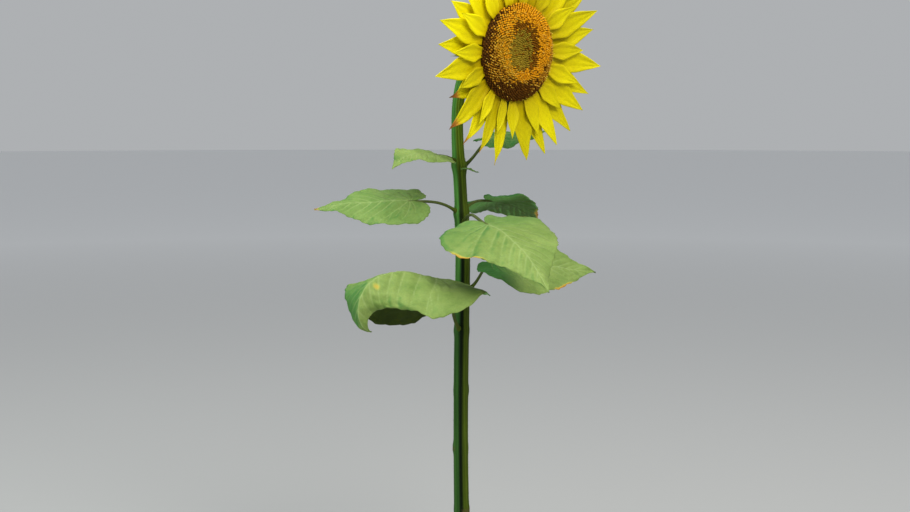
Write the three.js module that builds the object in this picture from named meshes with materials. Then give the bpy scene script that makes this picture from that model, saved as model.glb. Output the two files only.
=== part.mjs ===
// A sunflower plant in flower: one stem with a curved neck, seven leaves on
// petioles, and one head of ray florets round a domed seed disc.
// Millimetres, +Z up. The origin is the middle of the flat cut at the ground.
import * as THREE from 'three';
import { mergeVertices } from 'three/addons/utils/BufferGeometryUtils.js';

// ---- stem ----
const STEM_TOP_Z = 868;
const STEM_RADIUS_FLARE = 18;
const STEM_RADIUS_BASE = 12.4;
const STEM_RADIUS_MIDDLE = 10.1;
const STEM_RADIUS_LEAFY = 8.7;
const STEM_RADIUS_TOP = 7.8;
const STEM_SIDES = 14;
const STEM_STEPS = 24;

// ---- flower head ----
const HEAD_CENTRE = new THREE.Vector3(69, -70, 960);
const HEAD_TURN = -48;
const HEAD_NOD = 6.5;
const HEAD_ROLL = -2.2;
const DISC_RADIUS = 67.5;
const DISC_RISE = 19;
const DISC_BACK = 2.5;
const RECEPTACLE_RADIUS = 60;
const RECEPTACLE_DEPTH = 30;
const BRACT_COUNT = 20;
const BRACT_REACH = 92;
const NECK_RADIUS_TOP = 11.5;

// ---- ray florets: turn round the head in degrees, length of the free blade ----
const RAY_ROOT_RADIUS = 63.5;
const RAY_WIDTH = 33;
const RAY_THICKNESS = 1.2;
const FRONT_RAYS = [
  { turn: 358, reach: 158 },
  { turn: 27, reach: 153 },
  { turn: 51, reach: 149 },
  { turn: 75, reach: 150 },
  { turn: 99, reach: 146 },
  { turn: 122, reach: 149 },
  { turn: 145, reach: 145 },
  { turn: 168, reach: 147 },
  { turn: 195, reach: 148 },
  { turn: 224, reach: 149 },
  { turn: 249, reach: 143, width: 23 },
  { turn: 284, reach: 146, width: 37 },
  { turn: 307, reach: 149, width: 31 },
  { turn: 332, reach: 150 },
];
const BACK_RAYS = [
  { turn: 16, reach: 147 },
  { turn: 39, reach: 149 },
  { turn: 63, reach: 145 },
  { turn: 87, reach: 148 },
  { turn: 111, reach: 146 },
  { turn: 134, reach: 147 },
  { turn: 156, reach: 140 },
  { turn: 179, reach: 138 },
  { turn: 213, reach: 124 },
  { turn: 239, reach: 146, width: 24 },
  { turn: 262, reach: 151, width: 25 },
  { turn: 297, reach: 149, width: 31 },
  { turn: 320, reach: 152 },
  { turn: 343, reach: 150 },
];

// ---- leaves ----
// at: where the blade meets its petiole; node: height of the petiole on the stem;
// heading and pitch: way the midrib sets out; bend: how far it droops by the tip;
// droop: how late it does so, 1 being an even curve;
// roll and twist: lean of the blade about its midrib at the base, and its change;
// fold: droop of each half; width: half width as a share of the length.
const LEAF_THICKNESS = 1.8;
const PETIOLE_RADIUS = 3.1;
const LEAVES = [
  {
    name: 'top_left', at: [-38, -35, 825], node: 814, heading: 235, pitch: 5,
    bend: 48, droop: 2, roll: -14, twist: 5, fold: 5, length: 98, width: 0.4,
  },
  {
    name: 'behind_head', at: [40, 16, 846], node: 808, heading: 25, pitch: 15,
    bend: 25, droop: 1.3, roll: 10, twist: 0, fold: 10, length: 100, width: 0.38,
  },
  {
    name: 'upper_left', at: [-70, -55, 763], node: 744, heading: 190, pitch: 0,
    bend: 10, droop: 1.3, roll: -25, twist: -10, fold: 10, length: 130, width: 0.38,
  },
  {
    name: 'upper_right', at: [37, 45, 758], node: 748, heading: 50, pitch: -8,
    bend: 25, droop: 1.3, roll: -15, twist: 10, fold: 5, length: 135, width: 0.38,
  },
  {
    name: 'middle_right', at: [32, -110, 736], node: 730, heading: 300, pitch: -10,
    bend: 40, droop: 1.3, roll: 10, twist: -5, fold: 8, length: 166, width: 0.46,
  },
  {
    name: 'lower_right', at: [44, 5, 673], node: 635, heading: 10, pitch: -5,
    bend: 5, droop: 1.7, roll: 16, twist: 40, fold: 0, length: 150, width: 0.48,
  },
  {
    name: 'lower_left', at: [-33, -77, 660], node: 580, heading: 225, pitch: 15,
    bend: 185, droop: 2.7, roll: 22, twist: -60, fold: 30, length: 204, width: 0.5,
  },
];

const stemMaterial = new THREE.MeshStandardMaterial({ color: 0x5f7d33, roughness: 0.75, metalness: 0 });
const leafMaterial = new THREE.MeshStandardMaterial({ color: 0x8fb56b, roughness: 0.7, metalness: 0 });
const rayMaterial = new THREE.MeshStandardMaterial({ color: 0xe6d40f, roughness: 0.6, metalness: 0 });
const discMaterial = new THREE.MeshStandardMaterial({ color: 0x7a4a18, roughness: 0.9, metalness: 0 });

const plant = new THREE.Group();

const rad = THREE.MathUtils.degToRad;

function addMesh(parent, name, geometry, material) {
  const mesh = new THREE.Mesh(geometry, material.clone());
  mesh.name = name;
  parent.add(mesh);
  return mesh;
}

// Maps every vertex of a closed geometry and merges the ones that share a place.
function reshape(geometry, map) {
  geometry.deleteAttribute('normal');
  geometry.deleteAttribute('uv');
  const merged = mergeVertices(geometry, 1e-4);
  const position = merged.attributes.position;
  const v = new THREE.Vector3();
  for (let i = 0; i < position.count; i++) {
    v.fromBufferAttribute(position, i);
    map(v);
    position.setXYZ(i, v.x, v.y, v.z);
  }
  merged.computeVertexNormals();
  return merged;
}

// A limb is a unit cylinder carried along a curve, its radius set by radiusAt(t).
function limb(curve, radiusAt, sides, steps) {
  const frames = curveFrames(curve, steps);
  return reshape(new THREE.CylinderGeometry(1, 1, 1, sides, steps), (v) => {
    const t = v.y + 0.5;
    const frame = frames[Math.round(t * steps)];
    const radius = radiusAt(t);
    const a = v.x * radius;
    const b = v.z * radius;
    v.copy(frame.point).addScaledVector(frame.side, b).addScaledVector(frame.front, a);
  });
}

// Frames that turn as little as they can from one step to the next.
function curveFrames(curve, steps) {
  const frames = [];
  let side = new THREE.Vector3(1, 0, 0);
  for (let i = 0; i <= steps; i++) {
    const tangent = curve.getTangentAt(i / steps);
    side = side.clone().addScaledVector(tangent, -side.dot(tangent)).normalize();
    const front = new THREE.Vector3().crossVectors(tangent, side).normalize();
    frames.push({ point: curve.getPointAt(i / steps), side, front, tangent });
  }
  return frames;
}

// ---- stem and neck ----
function stemCentre(z) {
  const lean = -6.6 * THREE.MathUtils.smoothstep(z, 660, STEM_TOP_Z);
  const waver = 1.6 * Math.sin(z / 95);
  const fade = THREE.MathUtils.smoothstep(z, 0, 120) * (1 - THREE.MathUtils.smoothstep(z, 780, STEM_TOP_Z));
  return new THREE.Vector3(lean + waver * fade, 0.8 * waver * fade, z);
}

function stemRadius(z) {
  const flare = (STEM_RADIUS_FLARE - STEM_RADIUS_BASE) * Math.exp(-z / 22);
  const base = THREE.MathUtils.lerp(STEM_RADIUS_BASE, STEM_RADIUS_MIDDLE, THREE.MathUtils.clamp(z / 380, 0, 1));
  const leafy = (STEM_RADIUS_MIDDLE - STEM_RADIUS_LEAFY) * THREE.MathUtils.smoothstep(z, 660, 780);
  const top = (STEM_RADIUS_LEAFY - STEM_RADIUS_TOP) * THREE.MathUtils.smoothstep(z, 780, STEM_TOP_Z);
  return base + flare - leafy - top;
}

const stemPoints = [];
for (let i = 0; i <= STEM_STEPS; i++) {
  const share = i / STEM_STEPS;
  stemPoints.push(stemCentre(STEM_TOP_Z * (0.25 * share * share + 0.75 * share)));
}
const stemCurve = new THREE.CatmullRomCurve3(stemPoints);
addMesh(
  plant,
  'stem',
  limb(stemCurve, (t) => stemRadius(stemCurve.getPointAt(t).z), STEM_SIDES, STEM_STEPS),
  stemMaterial,
);
// The cut at the ground lies flat at z = 0.
flatten(plant.getObjectByName('stem').geometry, 0, 4);
flatten(plant.getObjectByName('stem').geometry, STEM_TOP_Z, 4);

function flatten(geometry, z, reach) {
  const position = geometry.attributes.position;
  for (let i = 0; i < position.count; i++) {
    if (Math.abs(position.getZ(i) - z) < reach) {
      position.setZ(i, z);
    }
  }
}

const headNormal = new THREE.Vector3(
  Math.cos(rad(HEAD_TURN)) * Math.cos(rad(HEAD_NOD)),
  Math.sin(rad(HEAD_TURN)) * Math.cos(rad(HEAD_NOD)),
  -Math.sin(rad(HEAD_NOD)),
);
const headBack = HEAD_CENTRE.clone().addScaledVector(headNormal, -RECEPTACLE_DEPTH - 4.4);
const neckStart = stemCentre(STEM_TOP_Z).add(new THREE.Vector3(0, 0, 0.4));
const neckCurve = new THREE.CubicBezierCurve3(
  neckStart,
  neckStart.clone().add(new THREE.Vector3(0, 0, 62)),
  headBack.clone().addScaledVector(headNormal, -52),
  headBack,
);
addMesh(
  plant,
  'neck',
  limb(
    neckCurve,
    (t) => STEM_RADIUS_TOP + (NECK_RADIUS_TOP - STEM_RADIUS_TOP) * Math.pow(t, 2.2),
    12,
    12,
  ),
  stemMaterial,
);

// ---- petioles and leaf blades ----
// Half outline of a heart-shaped blade, in shares of its length: share 0 is the
// back of the basal lobe and share 1 is the tip.
function bladeOutline(share, width) {
  const w = width / 0.42;
  if (share < 0.4) {
    const t = 0.3 + 0.7 * (share / 0.4);
    return cubic([0, 0], [-0.297, 0.04 * w], [-0.22, 0.4 * w], [0.15, 0.42 * w], t);
  }
  return cubic([0.15, 0.42 * w], [0.5, 0.44 * w], [0.68, 0.1 * w], [1, 0], (share - 0.4) / 0.6);
}

function cubic(a, b, c, d, t) {
  const s = 1 - t;
  const wa = s * s * s;
  const wb = 3 * s * s * t;
  const wc = 3 * s * t * t;
  const wd = t * t * t;
  return [wa * a[0] + wb * b[0] + wc * c[0] + wd * d[0], wa * a[1] + wb * b[1] + wc * c[1] + wd * d[1]];
}

// Place and directions at a distance u along a drooping midrib.
function midribFrame(leaf, u) {
  const share = THREE.MathUtils.clamp(u / leaf.length, 0, 1);
  const heading = new THREE.Vector3(Math.cos(rad(leaf.heading)), Math.sin(rad(leaf.heading)), 0);
  const left = new THREE.Vector3(-heading.y, heading.x, 0);
  const point = new THREE.Vector3(...leaf.at);
  const steps = 24;
  const along = new THREE.Vector3();
  const pitchAt = (s) => rad(leaf.pitch) - rad(leaf.bend) * Math.pow(s, leaf.droop);
  for (let i = 0; i < steps; i++) {
    const pitch = pitchAt((share * (i + 0.5)) / steps);
    along.copy(heading).multiplyScalar(Math.cos(pitch));
    along.z = Math.sin(pitch);
    point.addScaledVector(along, (share * leaf.length) / steps);
  }
  const pitch = pitchAt(share);
  along.copy(heading).multiplyScalar(Math.cos(pitch));
  along.z = Math.sin(pitch);
  if (u < 0) {
    point.addScaledVector(along, u);
  }
  const up = new THREE.Vector3().crossVectors(along, left);
  const lean = rad(leaf.roll) + rad(leaf.twist) * share;
  const across = left.clone().multiplyScalar(Math.cos(lean)).addScaledVector(up, Math.sin(lean));
  const normal = new THREE.Vector3().crossVectors(along, across);
  return { point, across, normal };
}

function leafBlade(leaf) {
  return reshape(new THREE.BoxGeometry(1, 2, 1, 14, 6, 1), (v) => {
    const share = v.x + 0.5;
    const side = Math.sign(v.y);
    const spread = Math.abs(v.y);
    const edge = bladeOutline(share, leaf.width);
    const edgeU = edge[0] * leaf.length;
    const edgeV = Math.max(edge[1] * leaf.length, 1.5);
    const ribU = leaf.length * Math.pow(share, 1.5) * 0.999;
    const u = THREE.MathUtils.lerp(ribU, edgeU, spread);
    const away = edgeV * spread;
    const frame = midribFrame(leaf, u);
    const lift = v.z * LEAF_THICKNESS - Math.sin(rad(leaf.fold)) * away;
    v.copy(frame.point);
    v.addScaledVector(frame.across, side * away * Math.cos(rad(leaf.fold)));
    v.addScaledVector(frame.normal, lift);
  });
}

for (const leaf of LEAVES) {
  addMesh(plant, `leaf_${leaf.name}`, leafBlade(leaf), leafMaterial);
  const root = stemCentre(leaf.node);
  const end = new THREE.Vector3(...leaf.at);
  const outward = new THREE.Vector3(end.x - root.x, end.y - root.y, 0).normalize();
  root.addScaledVector(outward, stemRadius(leaf.node) + 2.7);
  const frame = midribFrame(leaf, 0);
  const along = new THREE.Vector3().crossVectors(frame.across, frame.normal);
  end.addScaledVector(along, -PETIOLE_RADIUS * 2);
  const span = root.distanceTo(end);
  const curve = new THREE.CubicBezierCurve3(
    root,
    root.clone().addScaledVector(outward, span * 0.35).add(new THREE.Vector3(0, 0, span * 0.22)),
    end.clone().addScaledVector(along, -span * 0.3),
    end,
  );
  const radiusAt = (t) => PETIOLE_RADIUS * (1.25 - 0.45 * Math.min(1, t * 1.6));
  addMesh(plant, `petiole_${leaf.name}`, limb(curve, radiusAt, 8, 8), stemMaterial);
}

// ---- flower head: its own frame has +Z out of the face and +Y up the face ----
const head = new THREE.Group();
const headRight = new THREE.Vector3(-headNormal.y, headNormal.x, 0).normalize();
headRight.applyAxisAngle(headNormal, rad(HEAD_ROLL));
const headUp = new THREE.Vector3().crossVectors(headNormal, headRight);
head.matrixAutoUpdate = false;
head.matrix.makeBasis(headRight, headUp, headNormal).setPosition(HEAD_CENTRE);
plant.add(head);

// A solid of revolution about the head's +Z, from a profile of [radius, height].
function revolved(profile, sides) {
  const points = profile.map(([r, h]) => new THREE.Vector2(r, h));
  const geometry = new THREE.LatheGeometry(points, sides);
  geometry.rotateX(Math.PI / 2);
  return reshape(geometry, () => {});
}

addMesh(
  head,
  'seed_disc',
  revolved(
    [
      [0, -DISC_BACK],
      [DISC_RADIUS - 7, -DISC_BACK],
      [DISC_RADIUS - 6.5, 3.4],
      [DISC_RADIUS - 1, 4.8],
      [DISC_RADIUS, 6.8],
      [DISC_RADIUS - 3, 10],
      [DISC_RADIUS * 0.82, DISC_RISE * 0.78],
      [DISC_RADIUS * 0.58, DISC_RISE * 0.97],
      [DISC_RADIUS * 0.38, DISC_RISE],
      [DISC_RADIUS * 0.2, DISC_RISE * 0.86],
      [0, DISC_RISE * 0.8],
    ],
    30,
  ),
  discMaterial,
);

addMesh(
  head,
  'receptacle',
  revolved(
    [
      [0, -RECEPTACLE_DEPTH - 4],
      [NECK_RADIUS_TOP + 2, -RECEPTACLE_DEPTH - 3.4],
      [RECEPTACLE_RADIUS * 0.5, -RECEPTACLE_DEPTH + 6],
      [RECEPTACLE_RADIUS * 0.85, -14],
      [RECEPTACLE_RADIUS, -6],
      [RECEPTACLE_RADIUS, -3],
      [0, -3],
    ],
    24,
  ),
  stemMaterial,
);

// One green ring of pointed bracts behind the ray florets.
addMesh(head, 'bracts', bractRing(), stemMaterial);

function bractRing() {
  const root = RECEPTACLE_RADIUS + 0.5;
  const valley = RECEPTACLE_RADIUS + 8;
  const points = [];
  for (let i = 0; i < BRACT_COUNT; i++) {
    const reach = BRACT_REACH - 5 * Math.abs(Math.sin(i * 2.4));
    points.push([reach, (2 * Math.PI * i) / BRACT_COUNT]);
    points.push([valley, (2 * Math.PI * (i + 0.5)) / BRACT_COUNT]);
  }
  const outline = new THREE.Shape(
    points.map(([r, a]) => new THREE.Vector2(r * Math.cos(a), r * Math.sin(a))),
  );
  const hole = new THREE.Path();
  for (let i = 0; i < BRACT_COUNT * 2; i++) {
    const a = (-2 * Math.PI * i) / (BRACT_COUNT * 2);
    const x = root * Math.cos(a);
    const y = root * Math.sin(a);
    if (i === 0) {
      hole.moveTo(x, y);
    } else {
      hole.lineTo(x, y);
    }
  }
  hole.closePath();
  outline.holes.push(hole);
  const geometry = new THREE.ExtrudeGeometry(outline, { depth: 1.6, bevelEnabled: false });
  return reshape(geometry, (v) => {
    const r = Math.hypot(v.x, v.y);
    v.z -= 7.5 + (r - root) * 0.22;
  });
}

// Half width of a ray blade along it, as a share of its greatest half width:
// it swells to about 0.4 of its length and then runs to a sharp tip.
function rayHalfWidth(share) {
  const foot = 0.52 + 0.48 * THREE.MathUtils.smoothstep(share, 0, 0.42);
  const toTip = THREE.MathUtils.clamp((share - 0.36) / 0.64, 0, 1);
  return Math.max(foot * (1 - Math.pow(toTip, 1.75)) * (1 - 0.22 * toTip), 0.05);
}

function rayFloret(ray, level, lift, curl) {
  const length = ray.reach - RAY_ROOT_RADIUS;
  const half = (ray.width || RAY_WIDTH) / 2;
  return reshape(new THREE.BoxGeometry(1, 2, 1, 7, 2, 1), (v) => {
    const share = v.x + 0.5;
    const across = v.y * half * rayHalfWidth(share);
    const out = length * share;
    const fold = Math.abs(across) * 0.16;
    const rise = lift * out - curl * share * share;
    v.set(RAY_ROOT_RADIUS + out, across, level + rise + fold + v.z * RAY_THICKNESS);
  });
}

function addWhorl(name, rays, level, lift, curl) {
  rays.forEach((ray, i) => {
    const number = String(i + 1).padStart(2, '0');
    const mesh = addMesh(head, `ray_${name}_${number}`, rayFloret(ray, level, lift, curl), rayMaterial);
    mesh.rotation.z = rad(ray.turn);
  });
}

addWhorl('front', FRONT_RAYS, 0.6, 0.13, 1.5);
addWhorl('back', BACK_RAYS, -4.6, 0.155, 1.5);

export default plant;
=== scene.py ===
import math

import bpy
import numpy as np
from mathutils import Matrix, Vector


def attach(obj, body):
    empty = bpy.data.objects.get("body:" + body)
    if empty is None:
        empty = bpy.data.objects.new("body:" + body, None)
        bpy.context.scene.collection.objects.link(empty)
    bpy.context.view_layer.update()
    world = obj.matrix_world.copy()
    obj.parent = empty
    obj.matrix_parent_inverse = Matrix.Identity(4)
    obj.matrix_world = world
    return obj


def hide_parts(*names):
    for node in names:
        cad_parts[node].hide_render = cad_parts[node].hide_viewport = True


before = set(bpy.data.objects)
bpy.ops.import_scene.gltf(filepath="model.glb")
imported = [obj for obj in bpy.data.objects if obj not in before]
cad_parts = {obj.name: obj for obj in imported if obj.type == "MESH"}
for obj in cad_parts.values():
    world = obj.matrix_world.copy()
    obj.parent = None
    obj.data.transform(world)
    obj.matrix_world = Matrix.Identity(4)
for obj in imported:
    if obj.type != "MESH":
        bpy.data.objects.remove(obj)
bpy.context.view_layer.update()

# The scene is in metres, +Z up. The plant is worked out in millimetres and scaled by MM at the end.
MM = 0.001
TINY = 1e-12
UP = np.array([0.0, 0.0, 1.0])
rad = math.radians


def vec(*xyz):
    return np.array(xyz, dtype=float)


def unit(v):
    """Unit vectors along the last axis."""
    return v / np.linalg.norm(v, axis=-1, keepdims=True)


def smoothstep(x, low, high):
    """0 below low, 1 above high, and a smooth rise between."""
    t = np.clip((np.asarray(x, dtype=float) - low) / (high - low), 0, 1)
    return t * t * (3 - 2 * t)


# ---- camera
CAMERA_AIM = vec(-0.0098, 0, 0.682)
CAMERA_DISTANCE = 1.77
CAMERA_PITCH = 6.0
CAMERA_LENS = 50
CAMERA_SENSOR = 36


def add_camera():
    data = bpy.data.cameras.new("camera")
    data.lens = CAMERA_LENS
    data.sensor_width = CAMERA_SENSOR
    camera = bpy.data.objects.new("camera", data)
    bpy.context.scene.collection.objects.link(camera)
    back = vec(0, -math.cos(rad(CAMERA_PITCH)), math.sin(rad(CAMERA_PITCH)))
    camera.location = Vector(CAMERA_AIM + CAMERA_DISTANCE * back)
    camera.rotation_euler = (math.pi / 2 - rad(CAMERA_PITCH), 0, 0)
    bpy.context.scene.camera = camera


add_camera()

# ---- sizes, as in the CAD model (mm)
STEM_TOP_Z = 868
STEM_RADIUS_FLARE = 18
STEM_RADIUS_BASE = 12.4
STEM_RADIUS_MIDDLE = 10.1
STEM_RADIUS_LEAFY = 8.7
STEM_RADIUS_TOP = 7.8
NECK_RADIUS_TOP = 11.5

HEAD_CENTRE = vec(69, -70, 960)
HEAD_TURN = -48
HEAD_NOD = 6.5
HEAD_ROLL = -2.2
RECEPTACLE_DEPTH = 30


# at: the foot of the blade; node: the height of the stalk's foot; heading: 0 to the right, 270 to the front;
# droop: how late the bend comes; width: half the blade's, in shares of its length; bloom and shade: how
# much painted teal, for sky light on shaded places, the blade gets near its foot and all over
LEAVES = [
    dict(name="top_left", at=(-38, -35, 825), node=814, heading=235, pitch=5, bend=48, droop=2, roll=-14,
         twist=5, fold=5, length=98, width=0.4),
    dict(name="behind_head", at=(40, 16, 846), node=808, heading=25, pitch=15, bend=25, droop=1.3, roll=10,
         twist=0, fold=10, length=100, width=0.38, shade=0.6),
    dict(name="upper_left", at=(-70, -55, 763), node=744, heading=190, pitch=0, bend=10, droop=1.3, roll=-25,
         twist=-10, fold=10, length=130, width=0.38, shade=0.24),
    dict(name="upper_right", at=(37, 45, 758), node=748, heading=50, pitch=-8, bend=25, droop=1.3, roll=-15,
         twist=10, fold=5, length=135, width=0.38, painted_teal_light=0.9, shade=0.25),
    dict(name="middle_right", at=(32, -110, 736), node=730, heading=300, pitch=-10, bend=40, droop=1.3,
         roll=10, twist=-5, fold=8, length=166, width=0.46, painted_teal_light=0.3),
    dict(name="lower_right", at=(44, 5, 673), node=635, heading=10, pitch=-5, bend=5, droop=1.7, roll=16,
         twist=40, fold=0, length=150, width=0.48, painted_teal_light=0.85),
    dict(name="lower_left", at=(-33, -77, 660), node=580, heading=225, pitch=15, bend=185, droop=2.7, roll=22,
         twist=-60, fold=30, length=204, width=0.5),
]

# ---- details of the finish (mm, degrees)
STEM_ROWS = 470
STEM_SIDES = 84
STEM_RIBS = 5.5
OLD_NODES = [(492, 40), (408, 178), (318, 315), (226, 93), (130, 230)]
HAIR_COUNT = 5200
HAIR_LENGTH = (1.0, 2.4)
HAIR_RADIUS = 0.11

PETIOLE_ROWS = 64
PETIOLE_SIDES = 22
PETIOLE_UNDER_BLADE = 14.0
AXIL_LEAF = dict(name="axil", at=(1.0, -5, 806), heading=-15, pitch=-10, bend=20, droop=1.5, roll=5,
                 twist=0, fold=8, length=24, width=0.24, shade=0.35)
LEAF_TEETH = 17
TOOTH_DEPTH = 0.011
LEAF_HALF_THICKNESS = 0.34
RELIEF_LENGTH = 150

RAY_ROOT = 60.0
RAY_WIDTH = 33.0
INNER_RAY_WIDTH = 25
RAY_HALF_THICKNESS = 0.22
# painted light: petals round this turn are painted brighter, fading over SUNLIT_REACH
SUNLIT_TURN = 139
SUNLIT_REACH = 37

FLORET_COUNT = 1750
FLORET_SPREAD = 63.3
GOLDEN_ANGLE = math.pi * (3 - math.sqrt(5))

BRACT_RINGS = [
    dict(count=19, root=47.0, level=-15.5, length=40, width=14.5, lift=-0.05, curl=7.0),
    dict(count=20, root=53.5, level=-12.2, length=38, width=13.5, lift=0.10, curl=3.0),
    dict(count=21, root=58.0, level=-8.2, length=33, width=12.5, lift=0.16, curl=0.0),
]
BRACT_ROWS = 18
BRACT_HALF = 4
BRACT_HALF_THICKNESS = 0.35

# base colours that come with the meshes; on the stem the olive stands for sunlight, the teal for sky light in
# shade and the dark for shade, all painted
STEM_OLIVE = vec(0.053, 0.082, 0.005)
STEM_PAINTED_SKY_TEAL = vec(0.066, 0.205, 0.036)
STEM_PAINTED_SHADE = vec(0.002, 0.006, 0.0005)
STEM_BROWN = vec(0.080, 0.062, 0.022)
PETIOLE_TINT = vec(0.080, 0.105, 0.028)
BRACT_TINT = vec(0.095, 0.165, 0.040)
BRACT_EDGE = vec(0.160, 0.220, 0.070)


# ---- materials
def material(name, roughness, specular=0.08, subsurface=0.0):
    """A new material with its node tree and its shader."""
    mat = bpy.data.materials.new(name)
    mat.use_nodes = True
    nodes = mat.node_tree.nodes
    shader = nodes["Principled BSDF"]
    shader.inputs["Roughness"].default_value = roughness
    shader.inputs["Specular IOR Level"].default_value = specular
    if subsurface:
        shader.inputs["Subsurface Weight"].default_value = subsurface
        shader.inputs["Subsurface Radius"].default_value = (0.004, 0.003, 0.001)
        shader.inputs["Subsurface Scale"].default_value = 1.0
    return mat, mat.node_tree, shader


def noise(tree, scale, detail=4.0, roughness=0.55, stretch=None, coordinates="Object"):
    node = tree.nodes.new("ShaderNodeTexNoise")
    node.inputs["Scale"].default_value = scale
    node.inputs["Detail"].default_value = detail
    node.inputs["Roughness"].default_value = roughness
    place = tree.nodes.new("ShaderNodeTexCoord")
    if stretch:
        mapping = tree.nodes.new("ShaderNodeMapping")
        mapping.inputs["Scale"].default_value = stretch
        tree.links.new(place.outputs[coordinates], mapping.inputs["Vector"])
        tree.links.new(mapping.outputs["Vector"], node.inputs["Vector"])
    else:
        tree.links.new(place.outputs[coordinates], node.inputs["Vector"])
    return node.outputs["Fac"]


def grey(value):
    return (value, value, value)


def ramp(tree, source, stops):
    node = tree.nodes.new("ShaderNodeValToRGB")
    elements = node.color_ramp.elements
    while len(elements) < len(stops):
        elements.new(0.5)
    for element, (position, colour) in zip(elements, stops):
        element.position = position
        element.color = (*colour, 1)
    tree.links.new(source, node.inputs["Fac"])
    return node.outputs["Color"]


def mix(tree, factor, a, b, mode="MIX"):
    node = tree.nodes.new("ShaderNodeMix")
    node.data_type = "RGBA"
    node.blend_type = mode
    for socket, value in (("Factor", factor), ("A", a), ("B", b)):
        target = [s for s in node.inputs if s.name == socket and s.type in ("RGBA", "VALUE")]
        target = target[0] if socket == "Factor" else [s for s in target if s.type == "RGBA"][0]
        if isinstance(value, bpy.types.NodeSocket):
            tree.links.new(value, target)
        elif socket == "Factor":
            target.default_value = value
        else:
            target.default_value = (*value, 1)
    return [s for s in node.outputs if s.type == "RGBA"][0]


def maths(tree, operation, a, b):
    node = tree.nodes.new("ShaderNodeMath")
    node.operation = operation
    for index, value in enumerate((a, b)):
        if isinstance(value, bpy.types.NodeSocket):
            tree.links.new(value, node.inputs[index])
        else:
            node.inputs[index].default_value = value
    return node.outputs["Value"]


def attribute(tree, name):
    node = tree.nodes.new("ShaderNodeAttribute")
    node.attribute_name = name
    split = tree.nodes.new("ShaderNodeSeparateColor")
    tree.links.new(node.outputs["Color"], split.inputs["Color"])
    return split.outputs["Red"], split.outputs["Green"], split.outputs["Blue"]


def bump(tree, shader, height, strength, distance):
    node = tree.nodes.new("ShaderNodeBump")
    node.inputs["Strength"].default_value = strength
    node.inputs["Distance"].default_value = distance
    tree.links.new(height, node.inputs["Height"])
    tree.links.new(node.outputs["Normal"], shader.inputs["Normal"])


def vary_roughness(tree, shader, source, low, high):
    tree.links.new(ramp(tree, source, [(0.3, grey(low)), (0.7, grey(high))]), shader.inputs["Roughness"])


def off_middle(tree, source, amount):
    """A noise's distance from its middle, scaled."""
    return maths(tree, "MULTIPLY", maths(tree, "SUBTRACT", source, 0.5), amount)


def leaf_material(name, dark, light, vein_colour, painted_teal_light_colour, relief):
    """A blade's surface: sage green with paler veins, painted teal for sky light on shaded places, and sere
    yellow, orange and brown patches.
    """
    mat, tree, shader = material(name, roughness=0.62, subsurface=0.05)
    vein, sere, painted_teal_light = attribute(tree, "blade")
    cloud = noise(tree, 38, 5)
    fine = noise(tree, 420, 3)
    colour = ramp(tree, cloud, [(0.2, dark), (0.72, light)])
    # painted light: teal where sky light falls on shaded and left-facing places
    colour = mix(tree, painted_teal_light, colour, painted_teal_light_colour)
    speck = ramp(tree, fine, [(0.35, (0.86, 0.88, 0.84)), (0.7, (1.06, 1.05, 1.0))])
    colour = mix(tree, 1.0, colour, speck, "MULTIPLY")
    colour = mix(tree, maths(tree, "MULTIPLY", vein, 0.75), colour, vein_colour)
    edge = maths(tree, "ADD", sere, off_middle(tree, cloud, 0.5))
    patch = ramp(tree, edge, [(0.28, (0.34, 0.34, 0.06)), (0.48, (0.45, 0.25, 0.04)),
                              (0.85, (0.27, 0.12, 0.02))])
    amount = ramp(tree, edge, [(0.16, grey(0)), (0.34, grey(1))])
    colour = mix(tree, amount, colour, patch)
    tree.links.new(colour, shader.inputs["Base Color"])
    vary_roughness(tree, shader, fine, 0.52, 0.72)
    cells = tree.nodes.new("ShaderNodeTexVoronoi")
    cells.feature = "DISTANCE_TO_EDGE"
    cells.inputs["Scale"].default_value = 260
    place = tree.nodes.new("ShaderNodeTexCoord")
    tree.links.new(place.outputs["Object"], cells.inputs["Vector"])
    net = maths(tree, "MINIMUM", cells.outputs["Distance"], 0.25)
    height = maths(tree, "ADD", net, maths(tree, "MULTIPLY", fine, 0.3))
    bump(tree, shader, height, relief, 0.0008)
    return mat


def stem_material(name):
    """A ribbed green surface; its base colour, with any painted light and shade, comes with the mesh, and
    streaks and clouds vary it.
    """
    mat, tree, shader = material(name, roughness=0.6)
    node = tree.nodes.new("ShaderNodeAttribute")
    node.attribute_name = "tint"
    streak = noise(tree, 160, 5, stretch=(1, 1, 0.06))
    cloud = noise(tree, 14, 4)
    shade = maths(tree, "ADD", maths(tree, "MULTIPLY", streak, 0.6), maths(tree, "MULTIPLY", cloud, 0.4))
    vary = ramp(tree, shade, [(0.3, (0.68, 0.70, 0.66)), (0.7, (1.30, 1.27, 1.25))])
    tree.links.new(mix(tree, 1.0, node.outputs["Color"], vary, "MULTIPLY"), shader.inputs["Base Color"])
    fine = noise(tree, 900, 3, stretch=(1, 1, 0.25))
    vary_roughness(tree, shader, fine, 0.5, 0.72)
    bump(tree, shader, maths(tree, "ADD", fine, streak), 0.45, 0.0006)
    return mat


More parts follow.
